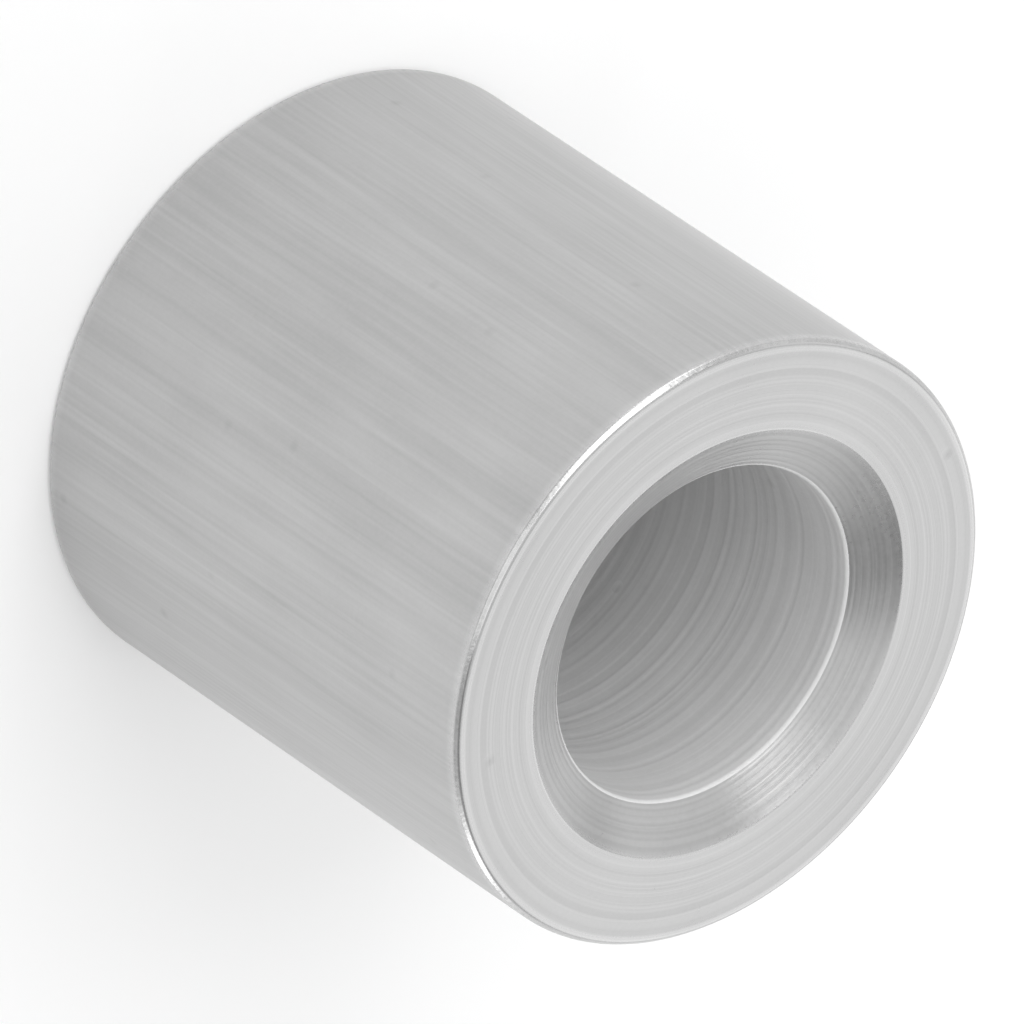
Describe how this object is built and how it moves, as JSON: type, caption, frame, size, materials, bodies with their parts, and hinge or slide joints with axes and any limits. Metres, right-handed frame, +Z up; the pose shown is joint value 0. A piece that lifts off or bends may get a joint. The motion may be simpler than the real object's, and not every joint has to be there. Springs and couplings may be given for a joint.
{
  "type": "cable stop sleeve",
  "caption": "Short round metal sleeve with a through bore and conical lead-ins, slid onto a cable and crimped there as a stop.",
  "frame": {"origin": "centre of the lower end face, on the axis of the bore", "axes": "+Z up along the axis of the bore, out of the upper end face; X and Y across the bore"},
  "size_m": [0.0064, 0.0064, 0.0063],
  "materials": {
    "sleeve_metal": "satin, lightly tumbled"
  },
  "bodies": {
    "root": {"stop_sleeve": "sleeve_metal"}
  },
  "joints": []
}
